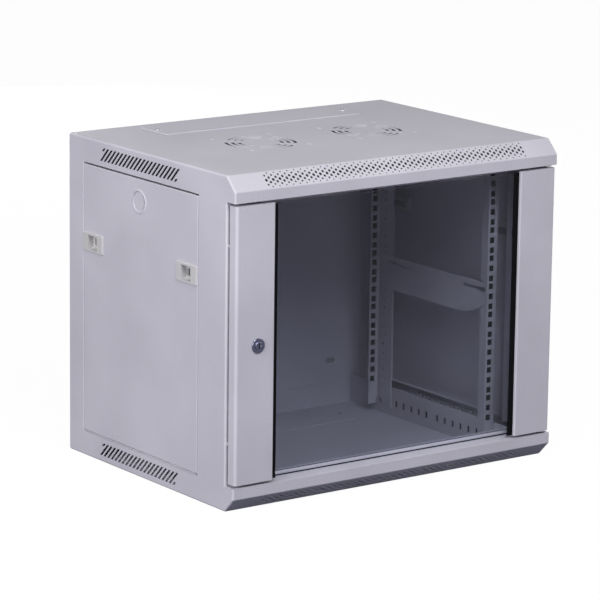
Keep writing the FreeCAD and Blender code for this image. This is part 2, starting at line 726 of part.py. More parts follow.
def front_post():
    body = new_body("post_front_right")
    face = f"(post_start + {FRONT})"
    block(body, (f"{SIDE} - skin", SIDE), (face, POST_END), POST_RUN)
    block(body, (f"{SIDE} - post_front_return", SIDE), (face, f"{face} + skin"), POST_RUN)
    block(body, (f"{SIDE} - post_inner_return", SIDE), (f"{POST_END} - skin", POST_END), POST_RUN)
    fillet(body, "bend", [(SIDE, face, "height / 2")])
    fillet(body, "panel_corner", [(SIDE, POST_END, "height / 2")])
    weld_tabs(body, (f"{STOP_BACK} + clearance", f"{POST_END} - post_tab_inset"))
    tongue_hole(body, (f"{POST_END} - 2 * skin", f"{POST_END} + skin"))
    return body


def rear_post():
    body = new_body("post_rear_right")
    start = REAR_POST_START
    block(body, (f"{SIDE} - skin", SIDE), (start, BACK), POST_RUN)
    block(body, (f"{SIDE} - post_inner_return", SIDE), (start, f"{start} + skin"), POST_RUN)
    block(body, (f"{SIDE} - post_rear_return", SIDE), (f"{BACK} - skin", BACK), POST_RUN)
    fillet(body, "bend", [(SIDE, BACK, "height / 2")])
    fillet(body, "panel_corner", [(SIDE, start, "height / 2")])
    weld_tabs(body, (f"{start} + post_tab_inset", f"{BACK} - post_tab_inset"))
    tongue_hole(body, (f"{start} - skin", f"{start} + 2 * skin"))
    return body


mirror(front_post(), "post_front_left", ACROSS)
mirror(rear_post(), "post_rear_left", ACROSS)


def rear_panel():
    """The plate that hangs on the wall, with a slot for a wall screw near each corner."""
    body = new_body("rear_panel")
    edge = f"({SIDE} - back_inset)"
    block(body, (f"0 - {edge}", edge), (BACK, "depth / 2"), ("back_inset", "height - back_inset"))
    sketch = new_sketch(body, "XZ_Plane")
    run = "(wall_slot - wall_hole) / 2"
    corner = ("0 - wall_across / 2", "height / 2 - wall_up / 2")
    low = (f"{corner[0]} - {run}", f"{corner[1]} - wall_hole / 2")
    high = (f"{corner[0]} + {run}", f"{corner[1]} + wall_hole / 2")
    rectangle(sketch, low, high)
    middle = pocket(body, sketch, "depth * 2", symmetric=True)
    four_times(body, middle, sketch)
    for sign in ("-", "+"):
        ends = new_sketch(body, "XZ_Plane")
        circle(ends, (f"{corner[0]} {sign} {run}", corner[1]), "wall_hole")
        four_times(body, pocket(body, ends, "depth * 2", symmetric=True), ends)
    return body


def four_times(body, feature, sketch):
    """Repeats one wall slot's cut at the other three corners."""
    both = body.newObject("PartDesign::MultiTransform", "Corners")
    both.Originals = [feature]
    ways = []
    for axis, pitch in (("H_Axis", "wall_across"), ("V_Axis", "wall_up")):
        way = body.newObject("PartDesign::LinearPattern", "Copy")
        way.Direction = (sketch, [axis])
        way.Mode = "Spacing"
        bind(way, "Offset", pitch)
        way.Occurrences = 2
        ways.append(way)
    both.Transformations = ways
    body.Tip = both
    doc.recompute()


rear_panel()


def door_stop():
    """The ledge inside the lower cover's front lip, with the upstand that the door closes over."""
    body = new_body("lower_door_stop")
    edge = f"({SIDE} - skin)"
    block(body, (f"0 - {edge}", edge), (f"skin + {FRONT}", STOP_BACK), ("rim - skin", "rim"))
    upstand = (f"stop_place + {FRONT}", STOP_BACK)
    block(body, (f"0 - {edge}", edge), upstand, ("rim - skin", "rim + stop_rise"))
    rod(body, (PIVOT[0], PIVOT[1], "rim - 2 * skin"), "+Z", "bush_barrel", "skin * 3", cut=True)
    return body


mirror(door_stop(), "upper_door_stop", UP, MIDDLE_HEIGHT)


def hinge_bush():
    body = new_body("hinge_bush_lower")
    rod(body, (PIVOT[0], PIVOT[1], "rim - bush_depth"), "+Z", "bush_barrel", "bush_depth")
    rod(body, (PIVOT[0], PIVOT[1], "rim"), "+Z", "bush_flange", "bush_flange_height")
    bore_length = "2 * bush_depth + 2 * bush_flange_height"
    rod(body, (PIVOT[0], PIVOT[1], "rim - 2 * bush_depth"), "+Z", PIN_HOLE, bore_length, cut=True)
    return body


mirror(hinge_bush(), "hinge_bush_upper", UP, MIDDLE_HEIGHT)


def bumpers():
    """Buffers on the left front post that the closed door's edge stops against."""
    body = loose("Bumper")
    outer = f"0 - {DOOR_EDGE}"
    level = "height / 2 - bumper_apart / 2"
    depth_run = (f"door_depth + clearance + {FRONT}", f"post_start + {FRONT}")
    tall = (f"{level} - bumper_height / 2", f"{level} + bumper_height / 2")
    block(body, (outer, f"{outer} + bumper_width"), depth_run, tall)
    group("door_bumpers", [body, hand(body, "BumperUpper", UP, MIDDLE_HEIGHT)])


bumpers()


# --- Mounting rails -----------------------------------------------------------------------------

BOLT_FRONT = "(runner_slot_front - (runner_slot_count - 1) * runner_slot_pitch)"
BOLT_REAR = "(runner_slot_rear + (runner_slot_count - 1) * runner_slot_pitch)"
BOLT_LEVELS = ("runner_slot_level", "height - runner_slot_level")
BRACE_FRONT = "(brace_start + brace_slot_edge + brace_screw_inset)"
BRACE_REAR = "(brace_end - brace_slot_edge - brace_screw_inset)"
BRACE_LEVEL = "(brace_bottom + brace_height - brace_slot_drop)"


def rail(label, place, way, bolt_place, brace_place):
    """An angle with three square holes to a rack unit; its web runs away from the face."""
    body = new_body(label)
    face = f"({place} + {FRONT})"
    back = f"({face} {way} rail_skin)" if way == "+" else f"({face} + rail_skin)"
    run = ("rail_lift", "height - rail_lift")
    block(body, (RAIL_INSIDE, RAIL_OUTSIDE), (face, back), run)
    web_end = f"({face} + rail_web)" if way == "+" else f"({back} - rail_web)"
    corner = face if way == "+" else back
    block(body, (f"{RAIL_OUTSIDE} - rail_skin", RAIL_OUTSIDE), (corner, web_end), run)
    fillet(body, "rail_bend", [(RAIL_OUTSIDE, corner, "height / 2")])
    squares = new_sketch(body, "XZ_Plane", f"0 - {face}")
    dots = new_sketch(body, "YZ_Plane", RAIL_OUTSIDE)
    dot_place = f"{corner} {way} rail_dot_place"
    for step in range(3):
        level = f"({BAY_BOTTOM} + rail_hole_first + {step} * rail_hole_step)"
        low = ("rail_holes / 2 - rail_square / 2", f"{level} - rail_square / 2")
        rectangle(squares, low, ("rail_holes / 2 + rail_square / 2", f"{level} + rail_square / 2"))
        circle(dots, (dot_place, level), "rail_dot")
    for sketch in (squares, dots):
        cut = pocket(body, sketch, "rail_skin * 4", symmetric=True)
        row(body, cut, sketch, "V_Axis", "bay_unit", "bay_units")
    for level in BOLT_LEVELS:
        start = (f"{RAIL_OUTSIDE} - 2 * rail_skin", f"{bolt_place} + {FRONT}", level)
        rod(body, start, "+X", "bolt_shank + clearance", "3 * rail_skin", cut=True)
    start = (f"{RAIL_OUTSIDE} - 2 * rail_skin", f"{brace_place} + {FRONT}", BRACE_LEVEL)
    rod(body, start, "+X", "screw_shank + clearance", "3 * rail_skin", cut=True)
    return body


rail_front = rail("rail_front_right", "rail_front_place", "+", BOLT_FRONT, BRACE_FRONT)
mirror(rail_front, "rail_front_left", ACROSS)
rail_rear = rail("rail_rear_right", "rail_rear_place", "-", BOLT_REAR, BRACE_REAR)
mirror(rail_rear, "rail_rear_left", ACROSS)


def runner():
    """A depth rail: an angle on the bottom cover that the mounting rails bolt to."""
    body = new_body("depth_rail_bottom_right")
    along = (f"runner_start + {FRONT}", f"runner_end + {FRONT}")
    block(body, (RAIL_OUTSIDE, f"{RAIL_OUTSIDE} + rail_skin"), along, ("skin", "runner_height"))
    block(body, (RAIL_OUTSIDE, f"{RAIL_OUTSIDE} + runner_foot"), along, ("skin", "skin + rail_skin"))
    slots = new_sketch(body, "YZ_Plane", RAIL_OUTSIDE)
    low = "runner_slot_level - runner_slot_height / 2"
    high = "runner_slot_level + runner_slot_height / 2"
    for first in (BOLT_FRONT, "runner_slot_rear"):
        near = f"{first} - runner_slot_width / 2 + {FRONT}"
        rectangle(slots, (near, low), (f"{first} + runner_slot_width / 2 + {FRONT}", high))
    cut = pocket(body, slots, "rail_skin * 4", symmetric=True)
    row(body, cut, slots, "H_Axis", "runner_slot_pitch", "runner_slot_count")
    return body


lower_runner = runner()
mirror(lower_runner, "depth_rail_bottom_left", ACROSS)
upper_runner = mirror(lower_runner, "depth_rail_top_right", UP, MIDDLE_HEIGHT)
mirror(upper_runner, "depth_rail_top_left", ACROSS)


def brace():
    """The plate that ties a front rail to a rear rail, with an adjusting slot near each end."""
    body = new_body("side_brace_right")
    top = "(brace_bottom + brace_height)"
    front = f"(brace_start + {FRONT})"
    rear = f"(brace_end + {FRONT})"
    outline = new_sketch(body, "YZ_Plane", f"{RAIL_OUTSIDE} - 2 * rail_skin")
    polygon(outline, [
        (front, "brace_bottom + brace_nose"),
        (f"{front} + brace_cut", "brace_bottom"),
        (rear, "brace_bottom"),
        (rear, top),
        (front, top),
    ])
    pad(body, outline, "rail_skin")
    doc.recompute()
    inside = f"{RAIL_OUTSIDE} - 1.5 * rail_skin"
    fillet(body, "brace_round", [
        (inside, front, "brace_bottom + brace_nose"),
        (inside, f"{front} + brace_cut", "brace_bottom"),
    ])
    square_corners = ((rear, "brace_bottom"), (rear, top), (front, top))
    fillet(body, "bend", [(inside, end, level) for end, level in square_corners])
    slots = new_sketch(body, "YZ_Plane", f"{RAIL_OUTSIDE} - 2 * rail_skin")
    low = f"{top} - brace_slot_drop - brace_slot_height / 2"
    high = f"{top} - brace_slot_drop + brace_slot_height / 2"
    for near in (f"{front} + brace_slot_edge", f"{rear} - brace_slot_edge - brace_slot_length"):
        rectangle(slots, (near, low), (f"{near} + brace_slot_length", high))
    pocket(body, slots, "rail_skin * 4", symmetric=True)
    return body


mirror(brace(), "side_brace_left", ACROSS)


def fixing(label, x, y, level, shank, head, head_height, hexagonal, nut):
    """A screw through two sheets, head towards the middle of the cabinet, with a nut behind."""
    body = loose(label)
    start = (x, y, level)
    if hexagonal:
        hexagon(body, start, "-X", head, head_height)
    else:
        rod(body, start, "-X", head, head_height)
        fillet(body, "head_round", [(f"{x} - {head_height}", y, f"{level} + {head} / 2")])
    rod(body, start, "+X", shank, "2 * rail_skin + nut_height + shank_end")
    hexagon(body, (f"{x} + 2 * rail_skin", y, level), "+X", nut, "nut_height")
    return body


def four_corners(label, members):
    """A group of the members on the right and their twins on the left."""
    group(label, members + [hand(m, f"{m.Name}Left", ACROSS) for m in members])


rail_bolts = []
for place, name in ((BOLT_FRONT, "Front"), (BOLT_REAR, "Rear")):
    for level, end in zip(BOLT_LEVELS, ("Lower", "Upper")):
        rail_bolts.append(fixing(
            f"RailBolt{name}{end}", f"({RAIL_OUTSIDE} - rail_skin)", f"({place} + {FRONT})", level,
            "bolt_shank", "bolt_head", "bolt_head_height", True, "bolt_head",
        ))
four_corners("rail_bolts", rail_bolts)

brace_screws = []
for place, name in ((BRACE_FRONT, "Front"), (BRACE_REAR, "Rear")):
    brace_screws.append(fixing(
        f"BraceScrew{name}", f"({RAIL_OUTSIDE} - 2 * rail_skin)", f"({place} + {FRONT})", BRACE_LEVEL,
        "screw_shank", "screw_head", "screw_head_height", False, "screw_head",
    ))
four_corners("brace_screws", brace_screws)


def earth_stud():
    body = new_body("earth_stud")
    x, y = "(0 - earth_across)", f"(earth_place + {FRONT})"
    rod(body, (x, y, "skin"), "+Z", "bolt_shank", "earth_length")
    rod(body, (x, y, "skin"), "+Z", "bolt_head + bolt_shank", "skin")
    hexagon(body, (x, y, "2 * skin"), "+Z", "bolt_head", "nut_height")
    return body


earth_stud()


# --- Door ---------------------------------------------------------------------------------------

LEDGE_BACK = f"(glass_setback - gasket_thickness + {FRONT})"
GLASS_EDGE = f"({DOOR_INNER} + door_ledge - glass_short)"
CAP_START = f"({GLASS_EDGE} + cap_gap)"
GLASS_RUN = (f"{DOOR_BOTTOM} + glass_foot", f"{DOOR_TOP} - glass_margin")


def door_strip(label, side):
    """A tall steel box edge: face, outer flange, end caps, and the ledge that carries the glass."""
    body = new_body(label)

    def at(text):
        return f"({side} ({text}))"

    run = (DOOR_BOTTOM, DOOR_TOP)
    back = f"door_depth + {FRONT}"
    block(body, (at(f"{DOOR_EDGE} - skin"), at(DOOR_EDGE)), (FRONT, back), run)
    block(body, (at(DOOR_INNER), at(DOOR_EDGE)), (FRONT, f"{FRONT} + skin"), run)
    block(body, (at(DOOR_INNER), at(f"{DOOR_INNER} + skin")), (FRONT, LEDGE_BACK), run)
    ledge = (at(DOOR_INNER), at(f"{DOOR_INNER} + door_ledge"))
    block(body, ledge, (f"{LEDGE_BACK} - skin", LEDGE_BACK), run)
    cap = (at(CAP_START), at(DOOR_EDGE))
    block(body, cap, (FRONT, back), (DOOR_BOTTOM, f"{DOOR_BOTTOM} + skin"))
    block(body, cap, (FRONT, back), (f"{DOOR_TOP} - skin", DOOR_TOP))
    middle = "height / 2"
    fillet(body, "door_corner - skin", [(at(f"{DOOR_EDGE} - skin"), f"{FRONT} + skin", middle)])
    fillet(body, "door_corner", [(at(DOOR_EDGE), FRONT, middle)])
    fillet(body, "panel_corner", [(at(DOOR_INNER), FRONT, middle), (at(DOOR_INNER), LEDGE_BACK, middle)])
    return body


left_strip = door_strip("door_strip_left", "0 -")
rod(left_strip, (LOCK, f"{FRONT} - skin", "lock_level"), "+Y", "lock_barrel", "3 * skin", cut=True)
right_strip = door_strip("door_strip_right", "0 +")
rod(right_strip, (PIVOT[0], PIVOT[1], f"{DOOR_BOTTOM} - skin"), "+Z", "pin_diameter", "3 * skin", cut=True)
rod(right_strip, (PIVOT[0], PIVOT[1], f"{DOOR_TOP} - 2 * skin"), "+Z", PIN_HOLE, "3 * skin", cut=True)


def glass():
    body = new_body("door_glass")
    front = f"(glass_setback + {FRONT})"
    back = f"({front} + glass_thickness)"
    block(body, (f"0 - {GLASS_EDGE}", GLASS_EDGE), (front, back), GLASS_RUN)
    edges = [("0", y, z) for y in (front, back) for z in (GLASS_RUN[0], GLASS_RUN[1])]
    fillet(body, "glass_arris", edges)
    return body


glass()


def gasket():
    body = new_body("glass_gasket_right")
    across = (f"{GLASS_EDGE} - gasket_width", GLASS_EDGE)
    block(body, across, (LEDGE_BACK, f"glass_setback + {FRONT}"), GLASS_RUN)
    return body


mirror(gasket(), "glass_gasket_left", ACROSS)


def hinge_pin_lower():
    """The fixed pin that carries the door, with the collar that its weight rests on."""
    body = new_body("hinge_pin_lower")
    bottom = "rim - skin - pin_reach"
    rod(body, (PIVOT[0], PIVOT[1], bottom), "+Z", "pin_diameter", f"{DOOR_BOTTOM} + pin_inside - ({bottom})")
    rest = "rim + bush_flange_height + collar_gap"
    rod(body, (PIVOT[0], PIVOT[1], rest), "+Z", "pin_collar", f"{DOOR_BOTTOM} - ({rest})")
    return body


def hinge_pin_upper():
    """The sprung pin that is drawn down by its finger lever to lift the door off."""
    body = new_body("hinge_pin_upper")
    foot = f"({DOOR_TOP} - 2 * skin - sleeve_height - lever_drop)"
    top = "height - rim + skin + pin_reach"
    rod(body, (PIVOT[0], PIVOT[1], foot), "+Z", "pin_diameter", f"{top} - {foot}")
    start = (PIVOT[0], PIVOT[1], f"{foot} + lever_drop / 2")
    rod(body, start, "-X", "lever_diameter", "lever_length")
    return body


def hinge_sleeve():
    """The block welded under the door's end cap that guides the upper pin."""
    body = new_body("hinge_sleeve_upper")
    half = "sleeve_width / 2"
    across = (f"{PIVOT[0]} - {half}", f"{PIVOT[0]} + {half}")
    along = (f"{PIVOT[1]} - {half}", f"{PIVOT[1]} + {half}")
    top = f"({DOOR_TOP} - skin)"
    block(body, across, along, (f"{top} - sleeve_height", top))
    start = (PIVOT[0], PIVOT[1], f"{top} - 2 * sleeve_height")
    rod(body, start, "+Z", PIN_HOLE, "sleeve_height * 3", cut=True)
    return body


hinge_pin_lower()
hinge_pin_upper()
mirror(hinge_sleeve(), "hinge_sleeve_lower", UP, MIDDLE_HEIGHT)


# --- Lock ---------------------------------------------------------------------------------------

NUT_BACK = "(skin + lock_nut_height)"


def lock_axis(y):
    return (LOCK, f"{y} + {FRONT}", "lock_level")


def lock_housing():
    body = new_body("lock_housing")
    rod(body, lock_axis("0 - lock_rim_proud"), "+Y", "lock_rim", "lock_rim_proud")
    edge = (f"{LOCK} + lock_rim / 2", f"0 - lock_rim_proud + {FRONT}", "lock_level")
    fillet(body, "head_round", [edge])
    rod(body, lock_axis("0"), "+Y", "lock_barrel", "door_depth + skin")
    rod(body, lock_axis("0 - lock_rim_proud"), "+Y", "lock_bore", "door_depth * 2", cut=True)
    return body


def lock_nut():
    body = new_body("lock_nut")
    rod(body, lock_axis("skin"), "+Y", "lock_nut_width", "lock_nut_height")
    rod(body, lock_axis("0"), "+Y", "lock_barrel", f"2 * {NUT_BACK}", cut=True)
    return body


def lock_plug():
    """The turning core with its key slot; its stem carries the cam."""
    body = new_body("lock_plug")
    face = "(0 - lock_rim_proud - plug_proud)"
    rod(body, lock_axis(face), "+Y", "lock_bore - clearance", f"door_depth + skin - {face}")
    edge = (f"{LOCK} + (lock_bore - clearance) / 2", f"{face} + {FRONT}", "lock_level")
    fillet(body, "plug_proud / 2", [edge])
    rod(body, lock_axis("door_depth"), "+Y", "stem_diameter", "cam_place + cam_skin - door_depth")
    slot = (f"{LOCK} - key_slot_width / 2", f"{LOCK} + key_slot_width / 2")
    tall = ("lock_level - key_slot_height / 2", "lock_level + key_slot_height / 2")
    block(body, slot, (f"{face} - skin + {FRONT}", f"{face} + door_depth / 2 + {FRONT}"), tall, cut=True)
    return body


def lock_cam():
    """The locking tongue; at rest it stands up, and a quarter turn lays it behind the post."""
    body = new_body("lock_cam")
    half = "cam_width / 2"
    across = (f"{LOCK} - {half}", f"{LOCK} + {half}")
    along = (f"cam_place + {FRONT}", f"cam_place + cam_skin + {FRONT}")
    block(body, across, along, (f"lock_level - {half}", "lock_level + cam_reach"))
    middle = f"cam_place + cam_skin / 2 + {FRONT}"
    ends = [(x, middle, z) for x in across for z in (f"lock_level - {half}", "lock_level + cam_reach")]
    fillet(body, "cam_round", ends)
    rod(body, lock_axis("cam_place - cam_skin"), "+Y", "stem_diameter", "3 * cam_skin", cut=True)
    return body


def cam_screw():
    body = new_body("lock_cam_screw")
    rod(body, lock_axis("cam_place + cam_skin"), "+Y", "cam_screw", "screw_head_height")
    edge = (f"{LOCK} + cam_screw / 2", f"cam_place + cam_skin + screw_head_height + {FRONT}", "lock_level")
    fillet(body, "head_round", [edge])
    return body


lock_housing()
lock_nut()
lock_plug()
lock_cam()
cam_screw()


# --- Side panels --------------------------------------------------------------------------------


def latch_middle(way):
    return f"({PANEL_MIDDLE} {way} latch_apart / 2)"


POCKET_HALVES = ("(pocket_long / 2 + pocket_wall)", "(pocket_tall / 2 + pocket_wall)")


def side_panel():
    """A shallow tray, hooked over the lower band, with a recess where a panel lock could go."""
    body = new_body("side_panel_right")
    near = f"({POST_END} + panel_gap)"
    far = f"({REAR_POST_START} - panel_gap)"
    block(body, (f"{SIDE} - panel_flange", SIDE), (near, far), (PANEL_BOTTOM, PANEL_TOP))
    edges = [(SIDE, y, "height / 2") for y in (near, far)]
    edges += [(SIDE, PANEL_MIDDLE, z) for z in (PANEL_BOTTOM, PANEL_TOP)]
    edges += [(f"{SIDE} - panel_flange / 2", y, z) for y in (near, far) for z in (PANEL_BOTTOM, PANEL_TOP)]
    fillet(body, "panel_corner", edges)
    inside = (f"{near} + skin", f"{far} - skin")
    level = (f"{PANEL_BOTTOM} + skin", f"{PANEL_TOP} - skin")
    block(body, (f"{SIDE} - 2 * panel_flange", f"{SIDE} - skin"), inside, level, cut=True)
    for way in ("-", "+"):
        middle = f"{PANEL_MIDDLE} {way} hook_apart / 2"
        across = (f"{SIDE} - skin - clearance", f"{SIDE} - 2 * skin - clearance")
        along = (f"{middle} - hook_width / 2", f"{middle} + hook_width / 2")
        block(body, across, along, (f"{PANEL_BOTTOM} - hook_drop", f"{PANEL_BOTTOM} + skin"))
    start = (SIDE, PANEL_MIDDLE, "knockout_level")
    rod(body, start, "-X", "knockout_rim + 2 * skin", "skin + knockout_depth")
    rod(body, start, "-X", "knockout_rim", "knockout_depth", cut=True)
    start = (f"{SIDE} - knockout_depth", PANEL_MIDDLE, "knockout_level")
    rod(body, start, "+X", "knockout_disc", "knockout_depth")
    long, tall = POCKET_HALVES
    for way in ("-", "+"):
        middle = latch_middle(way)
        along = (f"{middle} - {long} - clearance", f"{middle} + {long} + clearance")
        level = (f"latch_level - {tall} - clearance", f"latch_level + {tall} + clearance")
        block(body, (f"{SIDE} - 2 * skin", f"{SIDE} + skin"), along, level, cut=True)
    return body


def latch_housing(label, way):
    """A moulded bezel and finger pocket, pressed into the panel."""
    body = new_body(label)
    middle = latch_middle(way)
    long, tall = POCKET_HALVES
    along = (f"{middle} - bezel_long / 2", f"{middle} + bezel_long / 2")
    level = ("latch_level - bezel_tall / 2", "latch_level + bezel_tall / 2")
    block(body, (SIDE, f"{SIDE} + bezel_proud"), along, level)
    corners = [(f"{SIDE} + bezel_proud / 2", y, z) for y in along for z in level]
    fillet(body, "bezel_corner", corners)
    face = f"{SIDE} + bezel_proud"
    fillet(body, "bezel_round", [(face, middle, level[0])])
    floor = f"{SIDE} - pocket_deep"
    along = (f"{middle} - {long}", f"{middle} + {long}")
    level = (f"latch_level - {tall}", f"latch_level + {tall}")
    block(body, (f"{floor} - pocket_wall", SIDE), along, level)
    along = (f"{middle} - pocket_long / 2", f"{middle} + pocket_long / 2")
    level = ("latch_level - pocket_tall / 2", "latch_level + pocket_tall / 2")
    block(body, (floor, f"{face} + skin"), along, level, cut=True)
    fillet(body, "pocket_scoop", [(floor, middle, level[0])])
    room = "(lug_long / 2 + tongue_travel / 2 + clearance)"
    along = (f"{middle} - {room}", f"{middle} + {room}")
    level = ("latch_level - tongue_tall / 2 - clearance", "latch_level + tongue_tall / 2 + clearance")
    block(body, (f"{floor} - 2 * pocket_wall", f"{floor} + skin"), along, level, cut=True)
    return body


def latch_slide(label, way):
    """The sliding tongue, drawn back at rest, with the lug that a finger pushes."""
    body = new_body(label)
    middle = latch_middle(way)
    back = "+" if way == "-" else "-"
    tip = f"{POST_END} + tongue_shy" if way == "-" else f"{REAR_POST_START} - tongue_shy"
    outer = f"{SIDE} - {TONGUE_OUTER}"
    end = f"{middle} {back} (tongue_travel / 2 + lug_long)"
    level = ("latch_level - tongue_tall / 2", "latch_level + tongue_tall / 2")
    block(body, (f"{SIDE} - {TONGUE_INNER}", outer), (tip, end), level)
    lug = f"({middle} {back} tongue_travel / 2)"
    along = (f"{lug} - lug_long / 2", f"{lug} + lug_long / 2")
    block(body, (outer, f"{outer} + pocket_wall + clearance + lug_deep"), along, level)
    return body


mirror(side_panel(), "side_panel_left", ACROSS)
for way, place in (("-", "front"), ("+", "rear")):
    mirror(latch_housing(f"latch_housing_right_{place}", way), f"latch_housing_left_{place}", ACROSS)
    mirror(latch_slide(f"latch_slide_right_{place}", way), f"latch_slide_left_{place}", ACROSS)


# --- Check and write ----------------------------------------------------------------------------

doc.recompute()
for thing in doc.Objects:
    if "Invalid" in thing.State or "Error" in thing.State:
        raise RuntimeError(f"{thing.Label} did not recompute: {thing.State}")

os.makedirs("parts", exist_ok=True)
for piece in pieces:
    shape = piece.Shape
    if shape.isNull() or not shape.isValid() or not shape.Solids:
        raise RuntimeError(f"{piece.Label} has no valid solid")
    shape.exportStep(os.path.join("parts", f"{piece.Label}.step"))
    print(f"{piece.Label}: {len(shape.Solids)} solid(s), {shape.Volume / 1000:.2f} cm3")
print(f"{len(pieces)} sub-parts")
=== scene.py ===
# Wall mount network cabinet, nine units: the finish of every surface, and the thin trim that is
# modelled as meshes.  Lengths are in metres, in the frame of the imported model: X across, Y from the
# door to the wall, Z up, with the origin in the middle of the underside.

import math

import bpy
from mathutils import Matrix, Vector


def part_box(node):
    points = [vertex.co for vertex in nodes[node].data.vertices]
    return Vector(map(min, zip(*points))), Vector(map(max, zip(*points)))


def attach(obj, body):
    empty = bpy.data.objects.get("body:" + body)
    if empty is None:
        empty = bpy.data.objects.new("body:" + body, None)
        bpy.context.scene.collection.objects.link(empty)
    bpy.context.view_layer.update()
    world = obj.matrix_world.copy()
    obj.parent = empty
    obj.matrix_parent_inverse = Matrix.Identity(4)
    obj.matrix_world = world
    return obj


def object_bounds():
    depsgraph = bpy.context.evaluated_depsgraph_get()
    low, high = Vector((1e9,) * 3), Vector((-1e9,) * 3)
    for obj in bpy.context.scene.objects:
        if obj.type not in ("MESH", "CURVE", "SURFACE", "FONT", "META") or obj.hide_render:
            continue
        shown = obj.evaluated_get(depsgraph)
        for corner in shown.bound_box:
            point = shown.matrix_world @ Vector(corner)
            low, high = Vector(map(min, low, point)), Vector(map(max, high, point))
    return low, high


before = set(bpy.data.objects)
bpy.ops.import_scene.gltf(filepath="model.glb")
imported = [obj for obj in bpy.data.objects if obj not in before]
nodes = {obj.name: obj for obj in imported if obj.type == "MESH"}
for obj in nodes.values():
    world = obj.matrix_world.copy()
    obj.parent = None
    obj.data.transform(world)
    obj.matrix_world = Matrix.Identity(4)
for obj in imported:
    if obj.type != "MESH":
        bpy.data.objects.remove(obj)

cad_low, cad_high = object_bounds()
bpy.ops.object.select_all(action="DESELECT")


# --- Camera -------------------------------------------------------------------------------------
# A long lens, to the left of the cabinet and a little above it, as a product is usually shown.
# It stands a little over five metres off, so that upright edges stay nearly parallel.

camera_data = bpy.data.cameras.new("camera")
camera = bpy.data.objects.new("camera", camera_data)
bpy.context.scene.collection.objects.link(camera)
bpy.context.scene.camera = camera
camera_data.lens = 205.4
camera_data.sensor_width = 36
camera_data.clip_start, camera_data.clip_end = 0.1, 60
camera_turn = math.radians(35.94)
camera_tilt = math.radians(12.633)
camera_roll = math.radians(0.738)
camera.location = (-3.046, -4.1734, 1.4015)
camera.rotation_euler = (
    Matrix.Rotation(-camera_turn, 4, "Z")
    @ Matrix.Rotation(math.pi / 2 - camera_tilt, 4, "X")
    @ Matrix.Rotation(camera_roll, 4, "Z")
).to_euler()


# --- Room ---------------------------------------------------------------------------------------
# A wide floor of paper and large soft lamps.  The paper is white to the eye, and where it lights
# the cabinet it is a dim blue grey, so that the underside keeps its shade.

# Sockets of the Mix and Mix Shader nodes that share a name, so that only a number tells them apart.
SHARE = 0
FIRST_SHADER, SECOND_SHADER = 1, 2
FIRST_NUMBER, SECOND_NUMBER = 2, 3
FIRST_COLOUR, SECOND_COLOUR = 6, 7
MIXED_COLOUR = 2


def linear(colour):
    """An sRGB hex colour as the linear values that a shader takes."""
    parts = [int(colour[i:i + 2], 16) / 255 for i in (1, 3, 5)]
    return tuple(p / 12.92 if p <= 0.04045 else ((p + 0.055) / 1.055) ** 2.4 for p in parts) + (1,)


def add_node(tree, kind, inputs=None, **settings):
    """Adds a node.  Each input is a value, or an output socket to link to it."""
    node = tree.nodes.new(kind)
    for name, value in settings.items():
        setattr(node, name, value)
    for name, value in (inputs or {}).items():
        if isinstance(value, bpy.types.NodeSocket):
            tree.links.new(value, node.inputs[name])
        else:
            node.inputs[name].default_value = value
    return node


def new_material(name):
    """An empty material and the node that its surface goes to."""
    material = bpy.data.materials.new(name)
    material.use_nodes = True
    material.node_tree.nodes.clear()
    return material, add_node(material.node_tree, "ShaderNodeOutputMaterial")


def background_share(tree, straight, mirrored, through):
    """How much of a backdrop is plain white: straight to the eye, in gloss, and through glass."""
    path = add_node(tree, "ShaderNodeLightPath")
    gloss = add_node(tree, "ShaderNodeMath", {
        0: path.outputs["Is Glossy Ray"], 1: mirrored,
    }, operation="MULTIPLY")
    bent = add_node(tree, "ShaderNodeMix", {
        SHARE: path.outputs["Is Transmission Ray"],
        FIRST_NUMBER: gloss.outputs[0], SECOND_NUMBER: through,
    })
    share = add_node(tree, "ShaderNodeMath", {
        0: path.outputs["Is Camera Ray"], 1: straight, 2: bent.outputs[0],
    }, operation="MULTIPLY_ADD")
    return share.outputs[0]


paper, paper_output = new_material("studio_paper")
paper_tree = paper.node_tree
paper_colour = add_node(paper_tree, "ShaderNodeMix", {
    SHARE: background_share(paper_tree, straight=1.0, mirrored=0.2, through=0.1),
    FIRST_COLOUR: linear("#44465e"), SECOND_COLOUR: linear("#f6f6f6"),
}, data_type="RGBA")
paper_matt = add_node(paper_tree, "ShaderNodeBsdfDiffuse", {
    "Color": paper_colour.outputs[MIXED_COLOUR],
})
paper_white = add_node(paper_tree, "ShaderNodeEmission", {
    "Color": linear("#ffffff"), "Strength": 1.0,
})
paper_mix = add_node(paper_tree, "ShaderNodeMixShader", {
    SHARE: background_share(paper_tree, straight=0.975, mirrored=0.1, through=0.03),
    FIRST_SHADER: paper_matt.outputs[0], SECOND_SHADER: paper_white.outputs[0],
})
paper_tree.links.new(paper_mix.outputs[0], paper_output.inputs["Surface"])

floor_side = 24
bpy.ops.mesh.primitive_plane_add(size=floor_side, location=(0, 0, 0))
floor = bpy.context.object
floor.name = "floor"
floor.data.materials.append(paper)

